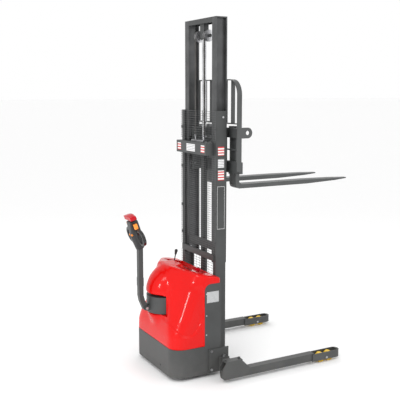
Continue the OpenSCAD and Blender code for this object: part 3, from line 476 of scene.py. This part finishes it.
class STACKER_OT_hood(bpy.types.Operator):
    """Round the hood into one flowing moulding with its nose, ledge and pressed lines"""
    bl_idname = "stacker.hood"
    bl_label = "Hood"

    def execute(self, context):
        half = HOOD_HIGH.x
        low = HOOD_LOW.z
        shell = self.body_hull(half, low)
        nose = self.nose_hull()
        ledge = self.ledge_hull()
        cut(shell, nose, "UNION")
        cut(shell, ledge, "UNION")
        modify(shell, "REMESH", mode="VOXEL", voxel_size=context.scene.stacker.hood_voxel)
        self.soften(shell)
        self.press_lines(shell)
        self.open_up(shell, half, low)
        dress(shell, "hood_moulding", "red", "chassis", 40, ("hood",))
        return {"FINISHED"}

    @staticmethod
    def body_hull(half, low):
        """The wide foot drawn up to the slanting rim."""
        corner = 0.11
        foot_top = 0.36
        flank_inside = 0.2
        rim_bottom, rim_radius = 0.775, 0.015
        rim_places = ((half - 0.015, -0.018), (half - 0.016, -0.125), (half - 0.065, -0.19), (half - 0.17, -0.24),
                      (0.095, -0.318))
        rear = BODY_LOW.y
        body = []
        for side in (-1, 1):
            body.append(round_post("corner", side * (half - corner), rear + corner, low, foot_top, corner))
            body.append(block("flank", (min(side * half, side * flank_inside), at_front(-0.16), low),
                              (max(side * half, side * flank_inside), at_front(-0.02), foot_top)))
            for x, y in rim_places:
                place = at_front(y)
                body.append(round_post("rim", side * x, place, rim_bottom, hood_top(place), rim_radius, 16))
        return hull_of(body, "hood_shell")

    @staticmethod
    def nose_hull():
        """The domed nose over the drum, from rings that shrink and lean forward as they rise."""
        base = DRUM_HIGH.z + 0.015
        ring_tall = 0.004
        rings = [round_post("brow", 0, DRUM_Y + shift, z, z + ring_tall, radius, 56)
                 for z, radius, shift in ((base, DRUM_R + 0.009, 0.0), (0.72, 0.152, 0.003),
                                          (0.785, 0.141, 0.018), (0.838, 0.122, 0.045))]
        rings.append(round_post("crown", 0, at_front(-0.235), 0.85, hood_top(at_front(-0.318)), 0.094, 40))
        reach = DRUM_R - 0.01
        bridge_rear = at_front(-0.24)
        rings.append(block("bridge", (-reach, bridge_rear, base),
                           (reach, at_front(-0.2), hood_top(bridge_rear) - 0.02)))
        return hull_of(rings, "nose")

    @staticmethod
    def ledge_hull():
        """The shelf that swells out under the drum."""
        root_z = 0.37
        back = 0.1
        return hull_of([round_post("shelf", 0, DRUM_Y, DRUM_LOW.z - 0.016, DRUM_LOW.z - 0.006, DRUM_R, 56),
                        round_post("root", 0, DRUM_Y, root_z, root_z + 0.01, 0.09, 40),
                        block("back", (-back, at_front(-0.26), root_z + 0.002),
                              (back, at_front(-0.22), DRUM_LOW.z - 0.008))],
                       "ledge")

    @staticmethod
    def soften(shell):
        """Rounds the moulding's ridges, and leaves its foot and its front edge where the steel meets them."""
        foot, foot_blend = 0.275, 0.06
        front, front_blend = at_front(-0.06), 0.07
        rim_z, rim_share = 0.84, 0.6
        least = 0.12
        soft = shell.vertex_groups.new(name="soft")
        for vertex in shell.data.vertices:
            rise = min(1.0, max(0.0, (vertex.co.z - foot) / foot_blend))
            away = min(1.0, max(0.0, (front - vertex.co.y) / front_blend))
            top = 1.0 if vertex.co.z < rim_z else rim_share
            soft.add([vertex.index], rise * (least + (1 - least) * away) * top, "REPLACE")
        modify(shell, "SMOOTH", factor=0.9, iterations=60, vertex_group="soft")
        modify(shell, "SMOOTH", factor=0.5, iterations=4)

    @staticmethod
    def press_lines(shell):
        """Sinks the scoop on each flank and raises the lip along the side panel."""
        inner_x, fade_x = 0.14, 0.05
        foot_z, top_z, top_fade = 0.3, 0.80, 0.09
        # the scoop's lower edge is an arc from the ledge to the lip
        centre_y, centre_z, wide, tall = -0.30, 0.64, 0.145, 0.275
        edge, deepest = 0.09, 0.013
        lip_y, lip_wide, lip_high, lip_top, lip_fade = 0.163, 0.0075, 0.0022, 0.77, 0.05
        for vertex in shell.data.vertices:
            x, y, z = vertex.co
            out = abs(x)
            if out < inner_x or z < foot_z:
                continue
            back = y - MAST_REAR
            inside = 1 - math.hypot((back - centre_y) / wide, (z - centre_z) / tall) if z < top_z else -1
            weight = max(0.0, min(1.0, inside / edge + 0.5)) * max(0.0, min(1.0, (top_z - z) / top_fade))
            weight = weight * weight * (3 - 2 * weight)
            sink = deepest * weight * min(1.0, (out - inner_x) / fade_x)
            lip_share = min(1.0, max(0.0, (lip_top - z) / lip_fade))
            lip = math.exp(-((back + lip_y) / lip_wide) ** 2) * lip_high * lip_share
            vertex.co.x += (lip - sink) * (1 if x > 0 else -1)
            vertex.co.y += 0.45 * sink

    @staticmethod
    def open_up(shell, half, low):
        """Cuts the drum's recess, the side panels' room and the tray's opening, then gives the wall its thickness."""
        wall = 0.005
        gap = 0.0005
        corner = 0.055
        shelf = DRUM_LOW.z - 0.006
        seam = at_front(-0.15) - gap
        recess = round_post("recess", 0, DRUM_Y, shelf, DRUM_HIGH.z + 0.0152, DRUM_R + 0.007, 72)
        cut(recess, block("mouth", (-0.205, BODY_LOW.y - 0.15, shelf), (0.205, DRUM_Y - 0.055, DRUM_HIGH.z + 0.0152)),
            "UNION")
        cut(shell, recess)
        panel = block("panel", (-half - 0.01, seam, low - 0.02), (half + 0.01, at_front(0.02), PANEL_TOP - corner))
        cut(panel, block("panel_upper", (-half - 0.01, seam + corner, low),
                         (half + 0.01, at_front(0.02), PANEL_TOP + gap)), "UNION")
        cut(panel, drum_shape("panel_corner", (0, at_front(-0.15) + corner, PANEL_TOP - corner), corner + gap,
                              2 * half + 0.02, "X", 48), "UNION")
        cut(shell, panel)
        tray_low, tray_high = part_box("tray_cover")
        tray_floor = 0.79
        cut(shell, block("tray_gap", (tray_low.x - gap, tray_low.y - gap, tray_floor),
                         (tray_high.x + gap, tray_high.y + gap, 1.0)))
        neck = 0.084
        cut(shell, round_post("neck", 0, DRUM_Y, shelf - 0.03, shelf + 0.004, neck, 56))
        trim_below(shell, low + 0.0004)

        def opened(face):
            x, y, z = face.center
            at_foot = face.normal.z < -0.95 and z < low + 0.002
            at_panel = y > seam - gap and z < PANEL_TOP + 2 * gap and (face.normal.y > 0.2 or face.normal.z < -0.2)
            at_mast = y > at_front(-0.004)
            in_tray = (tray_low.x - 2 * gap < x < tray_high.x + 2 * gap
                       and tray_low.y - 2 * gap < y < tray_high.y + 2 * gap and z > tray_floor - gap)
            in_neck = math.hypot(x, y - DRUM_Y) < neck + gap and z < shelf - gap and z > shelf - 0.031
            return at_foot or at_panel or at_mast or in_tray or in_neck

        drop_faces(shell, opened)
        modify(shell, "SOLIDIFY", thickness=wall, offset=-1.0, use_even_offset=False)


def trim_below(piece, level):
    """Cuts off what lies under a level and closes the cut."""
    only(piece)
    bpy.ops.object.mode_set(mode="EDIT")
    bpy.ops.mesh.select_all(action="SELECT")
    bpy.ops.mesh.bisect(plane_co=(0, 0, level), plane_no=(0, 0, 1), clear_inner=True, use_fill=True)
    bpy.ops.object.mode_set(mode="OBJECT")


def drop_faces(piece, unwanted):
    only(piece)
    bpy.ops.object.mode_set(mode="EDIT")
    bpy.ops.mesh.select_mode(type="FACE")
    bpy.ops.mesh.select_all(action="DESELECT")
    bpy.ops.object.mode_set(mode="OBJECT")
    for face in piece.data.polygons:
        face.select = unwanted(face)
    bpy.ops.object.mode_set(mode="EDIT")
    bpy.ops.mesh.delete(type="FACE")
    bpy.ops.object.mode_set(mode="OBJECT")


class STACKER_OT_guard(bpy.types.Operator):
    """Weave the fine wire guard behind the mast"""
    bl_idname = "stacker.guard"
    bl_label = "Mesh guard"

    def execute(self, context):
        settings = context.scene.stacker
        low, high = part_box("mesh_guard")
        middle_y = (low.y + high.y) / 2
        bar_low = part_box("mast_crossbar")[0]
        spans = [
            (low.z, bar_low.z - 0.001),
            (bar_low.z + 0.051, BEAM_LOW.z - 0.004),
            (BEAM_HIGH.z + 0.02, high.z),
        ]
        panels = []
        for bottom, top in spans:
            rows = max(2, int((top - bottom) / settings.mesh_pitch))
            columns = max(2, int((high.x - low.x) / settings.post_pitch))
            level = drum_shape("level_wire", (0, middle_y - 0.0006, bottom + settings.wire_radius),
                               settings.wire_radius, high.x - low.x, "X", 6)
            modify(level, "ARRAY", count=rows, use_relative_offset=False, use_constant_offset=True,
                   constant_offset_displace=(0, 0, (top - bottom - 2 * settings.wire_radius) / (rows - 1)))
            upright = drum_shape("upright_wire",
                                 (low.x + settings.wire_radius, middle_y + 0.0012, (bottom + top) / 2),
                                 settings.wire_radius, top - bottom, "Z", 6)
            modify(upright, "ARRAY", count=columns, use_relative_offset=False, use_constant_offset=True,
                   constant_offset_displace=((high.x - low.x - 2 * settings.wire_radius) / (columns - 1), 0, 0))
            panels.append(join([level, upright], "guard_panel"))
        guard = join(panels, "wire_guard")
        dress(guard, "wire_guard", "wire", "chassis", 40, ("mesh_guard",))
        return {"FINISHED"}


class STACKER_OT_chains(bpy.types.Operator):
    """Lay the leaf chains link by link over their sheaves"""
    bl_idname = "stacker.chains"
    bl_label = "Lift chains"

    def execute(self, context):
        pitch = context.scene.stacker.link_pitch
        for side in ("left", "right"):
            sheave_low, sheave_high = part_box("sheave_" + side)
            chain_low, chain_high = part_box("chain_" + side)
            centre = (sheave_low + sheave_high) / 2
            radius = (chain_high.y - chain_low.y) / 2 - 0.0045
            width = chain_high.x - chain_low.x
            tie = min(v.co.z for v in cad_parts["chain_" + side].data.vertices if v.co.y > centre.y + 0.02)
            rear_bottom = min(v.co.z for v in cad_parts["chain_" + side].data.vertices
                              if v.co.y < centre.y - 0.02)
            rear = self.fall(centre.x, centre.y - radius, rear_bottom, centre.z, width, pitch)
            front = self.fall(centre.x, centre.y + radius, tie, centre.z, width, pitch)
            over = self.over(centre, radius, width, pitch)
            dress(rear, f"chain_{side}_rear_links", "chain", None)
            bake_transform(rear)
            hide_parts("chain_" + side)
            dress(front, f"chain_{side}_front_links", "chain", None)
            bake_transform(front)
            dress(over, f"chain_{side}_top_links", "chain", "inner_mast")
        return {"FINISHED"}

    @staticmethod
    def link(x, y, z, width, pitch):
        """A pair of link plates with their pin, standing upright at one place."""
        plates = []
        for offset in (-0.38, -0.13, 0.13, 0.38):
            plate = block("plate", (x + offset * width - 0.0011, y - 0.0036, z - pitch * 0.47),
                          (x + offset * width + 0.0011, y + 0.0036, z + pitch * 0.47), 0.0009, 1)
            plates.append(plate)
        plates.append(drum_shape("pin", (x, y, z), 0.0026, width * 0.98, "X", 8))
        return join(plates, "link")

    def fall(self, x, y, low, high, width, pitch):
        count = max(2, int((high - low) / pitch))
        step = (high - low) / count
        links = self.link(x, y, low + step / 2, width, step)
        modify(links, "ARRAY", count=count, use_relative_offset=False, use_constant_offset=True,
               constant_offset_displace=(0, 0, step))
        return links

    def over(self, centre, radius, width, pitch):
        count = max(4, round(math.pi * radius / pitch))
        pieces = []
        first = self.link(centre.x, centre.y - radius, centre.z, width, math.pi * radius / count)
        for i in range(count):
            angle = math.pi * (i + 0.5) / count
            link = first.copy()
            link.data = first.data.copy()
            bpy.context.scene.collection.objects.link(link)
            for vertex in link.data.vertices:
                y, z = vertex.co.y - centre.y, vertex.co.z - centre.z
                vertex.co.y = centre.y + y * math.cos(angle) + z * math.sin(angle)
                vertex.co.z = centre.z - y * math.sin(angle) + z * math.cos(angle)
            pieces.append(link)
        bpy.data.objects.remove(first)
        return join(pieces, "top_links")


class STACKER_OT_tiller(bpy.types.Operator):
    """Round the tiller's head, its grips, paddle and cap"""
    bl_idname = "stacker.tiller"
    bl_label = "Tiller head"

    def execute(self, context):
        head = copy_of("tiller_head", "grip_head")
        modify(head, "REMESH", mode="VOXEL", voxel_size=0.0036)
        modify(head, "SMOOTH", factor=0.7, iterations=8)
        dress(head, "grip_head", "black", "tiller", 60, ("tiller_head",))
        paddle = copy_of("throttle", "paddle")
        modify(paddle, "REMESH", mode="VOXEL", voxel_size=0.002)
        modify(paddle, "SMOOTH", factor=0.6, iterations=8)
        dress(paddle, "throttle_paddle", "orange", "throttle", 60, ("throttle",))
        cap = copy_of("belly_button", "cap")
        self.shorten_stem(cap)
        modify(cap, "REMESH", mode="VOXEL", voxel_size=0.0026)
        self.dome(cap)
        modify(cap, "SMOOTH", factor=0.9, iterations=18)
        dress(cap, "safety_cap", "cap", "belly_button", 60, ("belly_button",))
        return {"FINISHED"}

    @staticmethod
    def shorten_stem(cap):
        """Draws the hidden stem up towards the cap, so that it has room in its pocket when pressed."""
        lean = math.radians(HEAD_LEAN)
        up = Vector((0, -math.sin(lean), math.cos(lean)))
        low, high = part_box("belly_button")
        wide = (high.x - low.x) / 4
        underside = min(vertex.co.dot(up) for vertex in cap.data.vertices if abs(vertex.co.x) > wide)
        kept = 0.25
        slimmer = 0.9
        lift = 0.001
        for vertex in cap.data.vertices:
            depth = underside - vertex.co.dot(up)
            if depth > lift:
                vertex.co += up * depth * (1 - kept)
                vertex.co.x *= slimmer
            elif depth > -lift:
                vertex.co += up * lift

    @staticmethod
    def dome(cap):
        """Crowns the cap: its corners sink towards the tiller and its middle stays."""
        low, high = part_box("belly_button")
        middle = (low + high) / 2
        reach = (high - low) / 2
        drop = 0.013
        for vertex in cap.data.vertices:
            if vertex.co.z < middle.z:
                continue
            across = (vertex.co.x - middle.x) / reach.x
            along = (vertex.co.y - middle.y) / reach.y
            rise = (vertex.co.z - middle.z) / reach.z
            vertex.co.z -= drop * min(1.0, across * across + along * along * 0.5) * rise


# A label stands this far off its steel, and its face this much further
LABEL_GAP = 0.0001
LABEL_FACE = 0.0009
BORDER_FACE = 0.0008


def label(name, low, high, finish):
    """A thin printed plate with a bevelled rim."""
    rim = 0.0004
    return dress(block(name, low, high, rim, 1), name, finish, "chassis", 30)


class STACKER_OT_labels(bpy.types.Operator):
    """Place plain labels without lettering on the beam and the mast"""
    bl_idname = "stacker.labels"
    bl_label = "Labels"

    def execute(self, context):
        self.beam_labels()
        self.mast_labels()
        self.mast_border()
        return {"FINISHED"}

    @staticmethod
    def beam_labels():
        margin = 0.02
        rear = BEAM_LOW.y
        for name, left, right, finish in (
                ("beam_label_left", -0.235, -0.175, "warn"),
                ("beam_label_right", 0.175, 0.235, "warn"),
                ("beam_label_middle", -0.075, 0.075, "white")):
            label(name, (left, rear - LABEL_FACE, BEAM_LOW.z + margin),
                  (right, rear - LABEL_GAP, BEAM_HIGH.z - margin), finish)

    @staticmethod
    def mast_labels():
        rear, front = at_front(0.018), at_front(0.075)
        levels = ((1.60, 1.68, "warn"), (1.70, 1.77, "white"), (1.80, 1.87, "warn"))
        for number, (low, high, finish) in enumerate(levels):
            label(f"mast_label_{number}", (MAST_SIDE + LABEL_GAP, rear, low),
                  (MAST_SIDE + LABEL_FACE, front, high), finish)

    @staticmethod
    def mast_border():
        """The empty border where the mast carries its large marking."""
        rim = 0.0003
        strips = []
        for low, high in (((0.012, 1.20), (0.0145, 1.55)), ((0.0785, 1.20), (0.081, 1.55)),
                          ((0.012, 1.20), (0.081, 1.2025)), ((0.012, 1.5475), (0.081, 1.55))):
            strips.append(block("strip", (MAST_SIDE + LABEL_GAP, at_front(low[0]), low[1]),
                                (MAST_SIDE + BORDER_FACE, at_front(high[0]), high[1]), rim, 1))
        dress(join(strips, "mast_frame_label"), "mast_frame_label", "white", "chassis", 30)


class STACKER_OT_hardware(bpy.types.Operator):
    """Add the load rollers' hubs and the side panels' screws"""
    bl_idname = "stacker.hardware"
    bl_label = "Hardware"

    def execute(self, context):
        for node in PACKED["yellow"]:
            self.hubs(node)
        self.screws()
        return {"FINISHED"}

    @staticmethod
    def hubs(node):
        radius, bore, thick, rim, proud = 0.02, 0.0088, 0.0018, 0.0004, 0.0004
        low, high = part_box(node)
        middle = (low + high) / 2
        rings = []
        for side, face in ((-1, low.x), (1, high.x)):
            ring = drum_shape("hub", (face - side * proud, middle.y, middle.z), radius, thick, "X", 40, rim)
            cut(ring, drum_shape("bore", (face, middle.y, middle.z), bore, radius, "X", 32))
            rings.append(ring)
        dress(join(rings, "hub"), node + "_hub", "zinc", node, 30)

    @staticmethod
    def screws():
        radius, tall, rim = 0.006, 0.0026, 0.0006
        socket, socket_depth = 0.0028, 0.003
        y = at_front(-0.135)
        heads = []
        for z in (0.36, 0.52, 0.70):
            for side in (-1, 1):
                x = side * BODY_HIGH.x
                head = drum_shape("screw", (x + side * 0.0012, y, z), radius, tall, "X", 24, rim)
                cut(head, drum_shape("socket", (x + side * 0.003, y, z), socket, socket_depth, "X", 6))
                heads.append(head)
        dress(join(heads, "panel_screws"), "panel_screws", "zinc", "chassis", 30)


# The camera, in metres and degrees: where it stands, how far it looks down and how far it is turned
CAMERA_X, CAMERA_BEHIND, CAMERA_Z = 5.2, 2.822, 2.306
CAMERA_DOWN, CAMERA_TURN = 8.671, 61.383
SENSOR_WIDTH, LENS = 36, 63.9
# Each soft light: its name, place, aim, side in metres and power in watts
LIGHTS = (
    ("key", (3.2, -4.2, 4.6), (0, -0.4, 1.0), 1.8, 75),
    ("fill", (4.6, 2.2, 3.2), (0, 0, 1.2), 2.6, 24),
    ("back", (-3.6, 1.6, 4.4), (0, 0, 1.3), 2.2, 28),
    ("strip", (1.6, -3.6, 1.6), (0, -0.5, 0.6), 0.5, 20),
)


class STACKER_OT_stage(bpy.types.Operator):
    """Lay the floor and set the lights and the camera"""
    bl_idname = "stacker.stage"
    bl_label = "Stage"

    def execute(self, context):
        clear_selection()
        bpy.ops.mesh.primitive_plane_add(size=400, location=(0, 0, 0))
        floor = bpy.context.object
        floor.name = "floor"
        pale = Finish("pale_floor", Specular_IOR_Level=0.1, Base_Color=(0.975, 0.975, 0.975, 1.0))
        pale.surface("Roughness", pale.spread(pale.noise(2.0), 0.3, 0.7, 0.8, 0.9))
        floor.data.materials.append(pale.material)
        world = bpy.data.worlds.new("studio")
        context.scene.world = world
        world.use_nodes = True
        world.node_tree.nodes["Background"].inputs[0].default_value = (1, 1, 1, 1)
        world.node_tree.nodes["Background"].inputs[1].default_value = 1.0
        for name, place, aim, size, power in LIGHTS:
            lamp = bpy.data.lights.new(name, "AREA")
            lamp.size = size
            lamp.energy = power
            holder = bpy.data.objects.new(name, lamp)
            holder.location = place
            holder.rotation_euler = (Vector(aim) - Vector(place)).to_track_quat("-Z", "Y").to_euler()
            context.scene.collection.objects.link(holder)
        eye = bpy.data.cameras.new("camera")
        eye.sensor_width = SENSOR_WIDTH
        eye.lens = LENS
        holder = bpy.data.objects.new("camera", eye)
        holder.location = (CAMERA_X, MAST_REAR - CAMERA_BEHIND, CAMERA_Z)
        holder.rotation_euler = (math.radians(90 - CAMERA_DOWN), 0, math.radians(CAMERA_TURN))
        context.scene.collection.objects.link(holder)
        context.scene.camera = holder
        context.scene.view_settings.view_transform = "Standard"
        return {"FINISHED"}


class STACKER_PT_panel(bpy.types.Panel):
    """Lists the stacker's pieces"""
    bl_label = "Walkie stacker"
    bl_idname = "STACKER_PT_panel"
    bl_space_type = "VIEW_3D"
    bl_region_type = "UI"
    bl_category = "Stacker"

    def draw(self, context):
        for name in StackerSettings.__annotations__:
            self.layout.prop(context.scene.stacker, name)
        for maker in OPERATORS:
            self.layout.operator(maker.bl_idname)


OPERATORS = (
    STACKER_OT_stage, STACKER_OT_finishes, STACKER_OT_hood, STACKER_OT_guard,
    STACKER_OT_chains, STACKER_OT_tiller, STACKER_OT_labels, STACKER_OT_hardware,
)
CLASSES = (StackerSettings, *OPERATORS, STACKER_PT_panel)


def register():
    for item in CLASSES:
        bpy.utils.register_class(item)
    bpy.types.Scene.stacker = bpy.props.PointerProperty(type=StackerSettings)


def unregister():
    del bpy.types.Scene.stacker
    for item in reversed(CLASSES):
        bpy.utils.unregister_class(item)


def main():
    register()
    bpy.ops.stacker.stage()
    bpy.ops.stacker.finishes()
    bpy.ops.stacker.hood()
    bpy.ops.stacker.guard()
    bpy.ops.stacker.chains()
    bpy.ops.stacker.tiller()
    bpy.ops.stacker.labels()
    bpy.ops.stacker.hardware()


if __name__ == "__main__":
    main()
